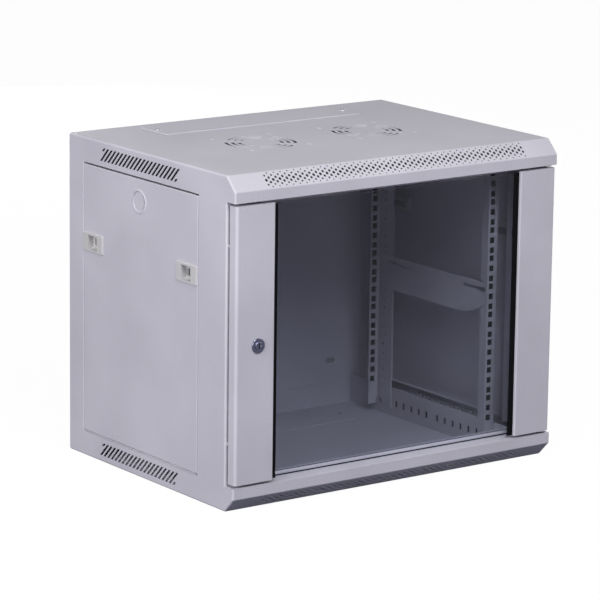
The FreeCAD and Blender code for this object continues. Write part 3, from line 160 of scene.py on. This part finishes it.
world = bpy.data.worlds.new("studio")
bpy.context.scene.world = world
world.use_nodes = True
world.node_tree.nodes.clear()
world_seen = add_node(world.node_tree, "ShaderNodeBackground", {
    "Color": linear("#ffffff"), "Strength": 1.0,
})
world_light = add_node(world.node_tree, "ShaderNodeBackground", {
    "Color": linear("#e8ebf2"), "Strength": 0.12,
})
world_mix = add_node(world.node_tree, "ShaderNodeMixShader", {
    SHARE: background_share(world.node_tree, straight=1.0, mirrored=0.5, through=0.1),
    FIRST_SHADER: world_light.outputs[0], SECOND_SHADER: world_seen.outputs[0],
})
add_node(world.node_tree, "ShaderNodeOutputWorld", {"Surface": world_mix.outputs[0]})
bpy.context.scene.view_settings.view_transform = "Standard"

cabinet_middle = (cad_low + cad_high) / 2


def softbox(name, towards, size, power, colour="#ffffff", distance=3.6):
    """A square lamp that faces the cabinet's middle.  The lamp itself isn't in the picture."""
    data = bpy.data.lights.new(name, "AREA")
    data.shape = "SQUARE"
    data.size = size
    data.energy = power
    data.color = linear(colour)[:3]
    lamp = bpy.data.objects.new(name, data)
    bpy.context.scene.collection.objects.link(lamp)
    way = Vector(towards).normalized()
    lamp.location = cabinet_middle + way * distance
    lamp.rotation_euler = way.to_track_quat("Z", "Y").to_euler()
    lamp.visible_camera = False


softbox("key_lamp", (-0.25, -0.72, 0.64), size=1.5, power=97, colour="#fffefb")
softbox("left_lamp", (-0.92, -0.25, 0.30), size=2.0, power=104, colour="#fffefb")
softbox("right_lamp", (0.75, -0.60, 0.30), size=2.0, power=18)
softbox("right_fill_lamp", (0.95, 0.05, 0.02), size=1.0, power=52)
softbox("rear_fill_lamp", (0.30, 0.95, 0.02), size=1.0, power=62)
softbox("edge_lamp", (0.40, -0.25, 0.85), size=0.6, power=2.5, colour="#fffff8", distance=2.4)


# --- Powder-coated sheet steel ------------------------------------------------------------------
# Covers, posts, side panels, door strips and the rear panel are folded from 1.2 mm steel sheet and
# powder coated in light grey.  Baked powder flows into a fine orange peel with a soft sheen.


def object_place(tree, grain):
    """Object coordinates, scaled so that one unit of a pattern is as long as the grain."""
    place = add_node(tree, "ShaderNodeTexCoord").outputs["Object"]
    scaled = add_node(tree, "ShaderNodeMapping", {"Vector": place, "Scale": (1 / grain,) * 3})
    return scaled.outputs[0]


def powder_coat(name, pale, deep, roughness=0.4):
    """Baked powder: its shade drifts over a hand's breadth, and its skin has an orange peel.

    Real orange peel and specks are under a millimetre across.  They are drawn at over 2 mm, so
    that they show."""
    drift_width, speck_width, peel_width = 0.11, 0.0022, 0.0025
    material, output = new_material(name)
    tree = material.node_tree
    drift = add_node(tree, "ShaderNodeTexNoise", {
        "Vector": object_place(tree, drift_width), "Scale": 1.0, "Detail": 2.0, "Roughness": 0.4,
    })
    speck = add_node(tree, "ShaderNodeTexNoise", {
        "Vector": object_place(tree, speck_width), "Scale": 1.0, "Detail": 1.0, "Roughness": 0.5,
    })
    blend = add_node(tree, "ShaderNodeMix", {
        SHARE: 0.3, FIRST_NUMBER: drift.outputs[0], SECOND_NUMBER: speck.outputs[0],
    })
    shade = add_node(tree, "ShaderNodeMapRange", {
        "Value": blend.outputs[0], "From Min": 0.35, "From Max": 0.65, "To Min": 0.0, "To Max": 1.0,
    })
    colour = add_node(tree, "ShaderNodeMix", {
        SHARE: shade.outputs[0], FIRST_COLOUR: linear(deep), SECOND_COLOUR: linear(pale),
    }, data_type="RGBA")
    gloss = add_node(tree, "ShaderNodeMapRange", {
        "Value": drift.outputs[0], "From Min": 0.3, "From Max": 0.7,
        "To Min": roughness - 0.04, "To Max": roughness + 0.04,
    })
    peel = add_node(tree, "ShaderNodeTexNoise", {
        "Vector": object_place(tree, peel_width), "Scale": 1.0, "Detail": 1.5, "Roughness": 0.55,
    })
    skin = add_node(tree, "ShaderNodeBump", {
        "Height": peel.outputs[0], "Strength": 0.12, "Distance": 0.0004,
    })
    body = add_node(tree, "ShaderNodeBsdfPrincipled", {
        "Base Color": colour.outputs[MIXED_COLOUR], "Roughness": gloss.outputs[0],
        "Normal": skin.outputs[0], "IOR": 1.5,
    })
    tree.links.new(body.outputs[0], output.inputs["Surface"])
    return material


def finish_in(material, *names):
    """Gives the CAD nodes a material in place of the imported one."""
    for name in names:
        for slot in nodes[name].material_slots:
            slot.material = material


cabinet_coat = powder_coat("light_grey_powder_coat", pale="#bdbbc7", deep="#b4b2be")
finish_in(
    cabinet_coat,
    "top_cover", "bottom_cover", "cable_entry_plate_top", "cable_entry_plate_bottom",
    "post_front_right", "post_front_left", "post_rear_right", "post_rear_left", "rear_panel",
    "lower_door_stop", "upper_door_stop", "side_panel_left", "side_panel_right",
    "door_strip_left", "door_strip_right", "hinge_sleeve_lower", "hinge_sleeve_upper",
    "top_grille", "bottom_grille",
)


# --- Black foam as painted shade ----------------------------------------------------------------
# Sheets of black open-cell foam lie behind the perforated strips and behind the slots in the top
# cover's sides, as painted shade in those holes.  A strip of the same foam lies along the ledge, at
# the foot of the lower stop, as a painted shadow line.


def cushioned_bar(name, low, high, edge, turn=0.0):
    """A bar between two corners with its edges rounded, then turned about the X axis."""
    bpy.ops.object.select_all(action="DESELECT")
    low, high = Vector(low), Vector(high)
    bpy.ops.mesh.primitive_cube_add(size=1, location=(low + high) / 2)
    piece = bpy.context.object
    piece.name = name
    piece.scale = high - low
    piece.rotation_euler = (turn, 0, 0)
    bpy.ops.object.transform_apply(location=True, rotation=True, scale=True)
    bpy.ops.object.mode_set(mode="EDIT")
    bpy.ops.mesh.select_all(action="SELECT")
    bpy.ops.mesh.bevel(offset=edge, segments=3)
    bpy.ops.object.mode_set(mode="OBJECT")
    return piece


# Open-cell polyurethane foam, cut from a block: its cut cells swallow the light.  Cells of 0.8 mm
# are drawn at 1.6 mm, so that they show.
# Its near-black colour is painted shade: each piece of this foam darkens an opening or a joint.
painted_shade_foam, foam_output = new_material("black_foam_painted_shade")
foam_tree = painted_shade_foam.node_tree
foam_cell = 0.0016
foam_cells = add_node(foam_tree, "ShaderNodeTexVoronoi", {
    "Vector": object_place(foam_tree, foam_cell),
})
foam_skin = add_node(foam_tree, "ShaderNodeBump", {
    "Height": foam_cells.outputs["Distance"], "Strength": 0.6, "Distance": 0.0006,
})
foam_shade = add_node(foam_tree, "ShaderNodeMix", {
    SHARE: foam_cells.outputs["Distance"],
    FIRST_COLOUR: linear("#0b0b0f"), SECOND_COLOUR: linear("#1d1d23"),
}, data_type="RGBA")
foam_body = add_node(foam_tree, "ShaderNodeBsdfPrincipled", {
    "Base Color": foam_shade.outputs[MIXED_COLOUR], "Roughness": 0.95,
    "Normal": foam_skin.outputs[0], "Specular IOR Level": 0.1,
})
foam_tree.links.new(foam_body.outputs[0], foam_output.inputs["Surface"])

# Each grille lies in a 45 degree chamfer, and a sheet of the foam lies along it, 1.5 mm further in,
# as painted shade in the grille's holes.
shade_sheet_thickness = 0.0015
foam_edge = 0.0004
shade_sheet_half_width = 0.011
shade_sheet_end_margin = 0.004
shade_sheet_setback = 0.0015
chamfer = math.radians(45)
for grille, tilt in (("top_grille", chamfer), ("bottom_grille", -chamfer)):
    grille_low, grille_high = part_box(grille)
    grille_middle = (grille_low + grille_high) / 2
    inward = Vector((0, math.sin(chamfer), -math.sin(tilt)))
    sheet_middle = grille_middle + inward * shade_sheet_setback
    half = Vector((grille_high.x - shade_sheet_end_margin, shade_sheet_half_width, shade_sheet_thickness / 2))
    painted_shade_sheet = cushioned_bar(
        f"{grille}_filter", sheet_middle - half, sheet_middle + half, foam_edge, tilt,
    )
    painted_shade_sheet.data.materials.append(painted_shade_foam)
    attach(painted_shade_sheet, "frame")

# Sheets of the foam lie just inside the top cover's sides, 1.4 mm in from their outer faces, as
# painted shade in the slots.
cover_low, cover_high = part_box("top_cover")
cover_side_depth = 0.0014
slots_front, slots_rear = 0.136, 0.367
slots_top, slots_foot = 0.0075, 0.0325
for side, sign in (("left", -1), ("right", 1)):
    across = sorted((
        sign * (cover_high.x - cover_side_depth),
        sign * (cover_high.x - cover_side_depth - shade_sheet_thickness),
    ))
    painted_shade_sheet = cushioned_bar(
        f"slot_shade_sheet_{side}",
        (across[0], cover_low.y + slots_front, cover_high.z - slots_foot),
        (across[1], cover_low.y + slots_rear, cover_high.z - slots_top), foam_edge,
    )
    painted_shade_sheet.data.materials.append(painted_shade_foam)
    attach(painted_shade_sheet, "frame")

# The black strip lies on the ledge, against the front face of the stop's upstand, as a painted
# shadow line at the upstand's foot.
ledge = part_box("bottom_cover")[1].z
upstand_thickness = 0.0012
upstand_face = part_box("lower_door_stop")[1].y - upstand_thickness
shadow_strip_half_length, shadow_strip_width, shadow_strip_height = 0.262, 0.0032, 0.0011
shadow_strip_clearance = 0.0001
ledge_shadow_strip = cushioned_bar(
    "ledge_shadow_strip",
    (-shadow_strip_half_length, upstand_face - shadow_strip_width, ledge),
    (shadow_strip_half_length, upstand_face - shadow_strip_clearance, ledge + shadow_strip_height), foam_edge,
)
ledge_shadow_strip.data.materials.append(painted_shade_foam)
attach(ledge_shadow_strip, "frame")


# --- Rails --------------------------------------------------------------------------------------
# Mounting rails, depth rails and braces are 2 mm steel sheet, punched and folded, and coated in a
# slightly darker grey.  The mounting rails are bolted to the depth rails, and the braces tie them.

rail_coat = powder_coat("rail_powder_coat", pale="#b3b1bb", deep="#a8a6b0", roughness=0.45)
finish_in(
    rail_coat,
    "rail_front_right", "rail_front_left", "rail_rear_right", "rail_rear_left",
    "depth_rail_bottom_right", "depth_rail_bottom_left",
    "depth_rail_top_right", "depth_rail_top_left", "side_brace_right", "side_brace_left",
)

# A strip of black foam on the outer face of each lower depth rail is painted shade in its slots.
# Foam on the rails starts 0.1 mm behind their 2 mm sheet.
behind_sheet = 0.0021
liner_thickness, liner_end_margin = 0.0015, 0.008
liner_foot, liner_top = 0.006, 0.003
for side, sign in (("left", -1), ("right", 1)):
    rail_low, rail_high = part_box(f"depth_rail_bottom_{side}")
    web = min(abs(rail_low.x), abs(rail_high.x)) + behind_sheet
    across = sorted((sign * web, sign * (web + liner_thickness)))
    rail_liner = cushioned_bar(
        f"depth_rail_liner_{side}",
        (across[0], rail_low.y + liner_end_margin, rail_low.z + liner_foot),
        (across[1], rail_high.y - liner_end_margin, rail_high.z - liner_top), foam_edge,
    )
    rail_liner.data.materials.append(painted_shade_foam)
    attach(rail_liner, "frame")

# Black foam tape, 0.8 mm thick, lies on the far face of each mounting rail's flange and web, so
# that the unused square holes look dark: painted shade.
tape_depth, tape_edge = 0.0008, 0.0002
tape_clearance = 0.0001
flange_inner, flange_outer = 0.2262, 0.2400
tape_end_margin, web_margin = 0.036, 0.0035
for rail in ("rail_front_right", "rail_front_left", "rail_rear_right", "rail_rear_left"):
    rail_low, rail_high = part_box(rail)
    sign = 1 if rail.endswith("right") else -1
    flange_back = rail_low.y + behind_sheet if "front" in rail else rail_high.y + tape_clearance
    across = sorted((sign * flange_inner, sign * flange_outer))
    up = (rail_low.z + tape_end_margin, rail_high.z - tape_end_margin)
    flange_tape = cushioned_bar(
        f"{rail}_flange_tape",
        (across[0], flange_back, up[0]), (across[1], flange_back + tape_depth, up[1]), tape_edge,
    )
    web_back = max(abs(rail_low.x), abs(rail_high.x)) + tape_clearance
    across = sorted((sign * web_back, sign * (web_back + tape_depth)))
    run = (rail_low.y + web_margin, rail_high.y - web_margin)
    web_tape = cushioned_bar(
        f"{rail}_web_tape", (across[0], run[0], up[0]), (across[1], run[1], up[1]), tape_edge,
    )
    for strip in (flange_tape, web_tape):
        strip.data.materials.append(painted_shade_foam)
        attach(strip, "frame")


# --- Glass --------------------------------------------------------------------------------------
# A 5 mm pane of float glass, tinted grey, cut and toughened.  It has no frame: black butyl tape
# bonds it to the backs of the two steel door strips.

# Polished float glass: clear, and darker than plain glass both where the eye looks through it and
# where light falls through it.
tinted_glass, glass_output = new_material("grey_tinted_glass")
glass_tree = tinted_glass.node_tree
glass_body = add_node(glass_tree, "ShaderNodeBsdfPrincipled", {
    "Base Color": linear("#b9bcc4"), "Roughness": 0.02, "IOR": 1.45, "Transmission Weight": 1.0,
    "Specular IOR Level": 0.2,
})
glass_in_shadow = add_node(glass_tree, "ShaderNodeBsdfTransparent", {"Color": linear("#d9dbdf")})
glass_mix = add_node(glass_tree, "ShaderNodeMixShader", {
    SHARE: add_node(glass_tree, "ShaderNodeLightPath").outputs["Is Shadow Ray"],
    FIRST_SHADER: glass_body.outputs[0], SECOND_SHADER: glass_in_shadow.outputs[0],
})
glass_tree.links.new(glass_mix.outputs[0], glass_output.inputs["Surface"])
finish_in(tinted_glass, "door_glass")

# Butyl tape, rolled out and pressed: a soft matt black with a grain of about a millimetre.
black_tape, tape_output = new_material("black_butyl_tape")
tape_tree = black_tape.node_tree
tape_grain_width = 0.001
tape_grain = add_node(tape_tree, "ShaderNodeTexNoise", {
    "Vector": object_place(tape_tree, tape_grain_width), "Detail": 2.0,
})
tape_skin = add_node(tape_tree, "ShaderNodeBump", {
    "Height": tape_grain.outputs[0], "Strength": 0.2, "Distance": 0.0002,
})
tape_body = add_node(tape_tree, "ShaderNodeBsdfPrincipled", {
    "Base Color": linear("#07070a"), "Roughness": 0.8, "Normal": tape_skin.outputs[0],
    "Specular IOR Level": 0.1,
})
tape_tree.links.new(tape_body.outputs[0], tape_output.inputs["Surface"])
finish_in(black_tape, "glass_gasket_left", "glass_gasket_right")

# The tape runs on past the lower edge of the glass, to just above the foot of each strip.
tail_thickness, tail_edge, tail_foot = 0.0022, 0.0003, 0.0004
for side in ("left", "right"):
    tape_low, tape_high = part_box(f"glass_gasket_{side}")
    strip_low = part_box(f"door_strip_{side}")[0]
    tape_tail = cushioned_bar(
        f"tape_tail_{side}",
        (tape_low.x, tape_low.y, strip_low.z + tail_foot),
        (tape_high.x, tape_low.y + tail_thickness, tape_low.z), tail_edge,
    )
    tape_tail.data.materials.append(black_tape)
    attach(tape_tail, "door")


# --- Lock ---------------------------------------------------------------------------------------
# A die-cast cam lock, polished and chrome plated, is held in the left door strip by a ring nut.
# Its cam, nut and screw are bright zinc plated steel, as are the hinge pins and all the fasteners.


def plated(name, colour, roughness, grain):
    """Plated metal: nearly a mirror, with faint polishing marks as long as the grain."""
    material, output = new_material(name)
    tree = material.node_tree
    marks = add_node(tree, "ShaderNodeTexNoise", {
        "Vector": object_place(tree, grain), "Detail": 3.0,
    })
    gloss = add_node(tree, "ShaderNodeMapRange", {
        "Value": marks.outputs[0], "From Min": 0.3, "From Max": 0.7,
        "To Min": roughness * 0.7, "To Max": roughness * 1.3,
    })
    skin = add_node(tree, "ShaderNodeBump", {
        "Height": marks.outputs[0], "Strength": 0.05, "Distance": 0.0001,
    })
    body = add_node(tree, "ShaderNodeBsdfPrincipled", {
        "Base Color": linear(colour), "Metallic": 1.0, "Roughness": gloss.outputs[0],
        "Normal": skin.outputs[0],
    })
    tree.links.new(body.outputs[0], output.inputs["Surface"])
    return material


# The chrome is drawn darker and bluer than plated metal: a painted reflection of dark surroundings.
chrome = plated("chrome_painted_dark_reflection", "#84849a", roughness=0.14, grain=0.002)
finish_in(chrome, "lock_housing", "lock_plug")
zinc = plated("bright_zinc_plate", "#b9bcc0", roughness=0.3, grain=0.0015)
finish_in(
    zinc,
    "lock_nut", "lock_cam", "lock_cam_screw", "hinge_pin_lower", "hinge_pin_upper",
    "rail_bolts", "brace_screws", "cable_entry_screws", "earth_stud",
)

# A sprung shutter of blackened steel closes the key slot from inside.
plug_low, plug_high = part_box("lock_plug")
plug_axis = (plug_low + plug_high) / 2
slot_half_width, slot_half_height = 0.0007, 0.0037
shutter_front, shutter_back, shutter_edge = 0.0008, 0.0016, 0.0002
key_shutter = cushioned_bar(
    "key_shutter",
    (plug_axis.x - slot_half_width, plug_low.y + shutter_front, plug_axis.z - slot_half_height),
    (plug_axis.x + slot_half_width, plug_low.y + shutter_back, plug_axis.z + slot_half_height),
    shutter_edge,
)
shutter_steel = plated("blackened_spring_steel", "#1b1b22", roughness=0.35, grain=0.001)
key_shutter.data.materials.append(shutter_steel)
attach(key_shutter, "lock")

# Its rivet is nickel plated, and shows beside the slot as a bright, barely proud end.
rivet_radius, rivet_length, rivet_edge = 0.0012, 0.0010, 0.0002
rivet_offset, rivet_depth = 0.0031, 0.00048
bpy.ops.object.select_all(action="DESELECT")
bpy.ops.mesh.primitive_cylinder_add(
    vertices=24, radius=rivet_radius, depth=rivet_length,
    location=(plug_axis.x + rivet_offset, plug_low.y + rivet_depth, plug_axis.z),
    rotation=(math.pi / 2, 0, 0),
)
shutter_rivet = bpy.context.object
shutter_rivet.name = "shutter_rivet"
bpy.ops.object.transform_apply(location=True, rotation=True, scale=True)
bpy.ops.object.mode_set(mode="EDIT")
bpy.ops.mesh.select_all(action="SELECT")
bpy.ops.mesh.bevel(offset=rivet_edge, segments=3)
bpy.ops.object.mode_set(mode="OBJECT")
bpy.ops.object.shade_smooth()
rivet_nickel = plated("bright_nickel", "#e6e8f0", roughness=0.2, grain=0.001)
shutter_rivet.data.materials.append(rivet_nickel)
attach(shutter_rivet, "lock")


# --- Latches and small mouldings ----------------------------------------------------------------
# Latch bezels are moulded in ABS of the cabinet's grey, and snap into the side panels.  Their
# sliding tongues are a darker grey, as painted shade inside the latch pockets.  The bushes are black
# nylon, and the door bumpers grey rubber.


def moulded(name, colour, roughness, grain, depth):
    """A moulded part: one colour through, with the fine grain of its mould."""
    material, output = new_material(name)
    tree = material.node_tree
    spark = add_node(tree, "ShaderNodeTexNoise", {
        "Vector": object_place(tree, grain), "Detail": 2.0,
    })
    skin = add_node(tree, "ShaderNodeBump", {
        "Height": spark.outputs[0], "Strength": 0.25, "Distance": depth,
    })
    gloss = add_node(tree, "ShaderNodeMapRange", {
        "Value": spark.outputs[0], "From Min": 0.3, "From Max": 0.7,
        "To Min": roughness - 0.05, "To Max": roughness + 0.05,
    })
    body = add_node(tree, "ShaderNodeBsdfPrincipled", {
        "Base Color": linear(colour), "Roughness": gloss.outputs[0], "Normal": skin.outputs[0],
    })
    tree.links.new(body.outputs[0], output.inputs["Surface"])
    return material


latch_abs = moulded("grey_abs", "#b8b7ba", roughness=0.42, grain=0.0008, depth=0.0001)
# The tongues' darker grey is painted shade for the latch pockets.
slide_abs_painted_shade = moulded("mid_grey_abs_painted_shade", "#8a8a8c", roughness=0.5, grain=0.0008, depth=0.0001)
for side in ("left", "right"):
    for end in ("front", "rear"):
        finish_in(latch_abs, f"latch_housing_{side}_{end}")
        finish_in(slide_abs_painted_shade, f"latch_slide_{side}_{end}")
bush_nylon = moulded("black_nylon", "#1c1c1e", roughness=0.45, grain=0.001, depth=0.0001)
finish_in(bush_nylon, "hinge_bush_lower", "hinge_bush_upper")
bumper_rubber = moulded("grey_rubber", "#a9a8b0", roughness=0.7, grain=0.0008, depth=0.0001)
finish_in(bumper_rubber, "door_bumpers")


# --- Panel foot lips ----------------------------------------------------------------------------
# Along the foot of each side panel runs a thin rolled lip of the same coated steel, spot welded
# between and over the hooks.  It narrows the gap above the cover band and hides it.

hook_drop = 0.010
lip_proud, lip_sunk, lip_edge = 0.0003, 0.0012, 0.00045
lip_drop, lip_clearance, lip_end_margin = 0.0016, 0.0001, 0.0008
for side, sign in (("left", -1), ("right", 1)):
    panel_low, panel_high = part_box(f"side_panel_{side}")
    face = max(panel_high.x, -panel_low.x)
    panel_foot = panel_low.z + hook_drop
    across = sorted((sign * (face + lip_proud), sign * (face - lip_sunk)))
    foot_lip = cushioned_bar(
        f"panel_foot_lip_{side}",
        (across[0], panel_low.y + lip_end_margin, panel_foot - lip_drop),
        (across[1], panel_high.y - lip_end_margin, panel_foot - lip_clearance), lip_edge,
    )
    foot_lip.data.materials.append(cabinet_coat)
    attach(foot_lip, f"panel_{side}")


# --- Panel lock collars -------------------------------------------------------------------------
# Each side panel has a recess for an optional lock.  A drawn steel collar, coated like the panel,
# is pressed round it: a shallow cone outside and a steep wall inside.

recess_height = 0.425
collar_radius = 0.0192
# The cone, the rim and the inner wall: how far each goes inwards, and how far it rises.
collar_steps = ((0.0021, 0.0009), (0.0003, 0.0001), (0.0005, -0.0018))
for side, sign in (("left", -1), ("right", 1)):
    panel_low, panel_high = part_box(f"side_panel_{side}")
    face = sign * max(panel_high.x, -panel_low.x)
    bpy.ops.object.select_all(action="DESELECT")
    bpy.ops.mesh.primitive_circle_add(
        vertices=64, radius=collar_radius, fill_type="NGON",
        location=(face, (panel_low.y + panel_high.y) / 2, recess_height),
        rotation=(0, sign * math.pi / 2, 0),
    )
    collar = bpy.context.object
    collar.name = f"lock_recess_collar_{side}"
    bpy.ops.object.transform_apply(location=True, rotation=True, scale=True)
    bpy.ops.object.mode_set(mode="EDIT")
    bpy.ops.mesh.select_all(action="SELECT")
    for inwards, rise in collar_steps:
        bpy.ops.mesh.inset(thickness=inwards, depth=rise)
    # The middle comes out, and the two open rims are joined behind, so that the ring is closed.
    bpy.ops.mesh.delete(type="FACE")
    bpy.ops.mesh.select_all(action="DESELECT")
    bpy.ops.mesh.select_non_manifold()
    bpy.ops.mesh.bridge_edge_loops()
    bpy.ops.mesh.select_all(action="SELECT")
    bpy.ops.mesh.normals_make_consistent(inside=False)
    bpy.ops.object.mode_set(mode="OBJECT")
    bpy.ops.object.shade_smooth_by_angle(angle=math.radians(30))
    collar.data.materials.append(cabinet_coat)
    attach(collar, f"panel_{side}")
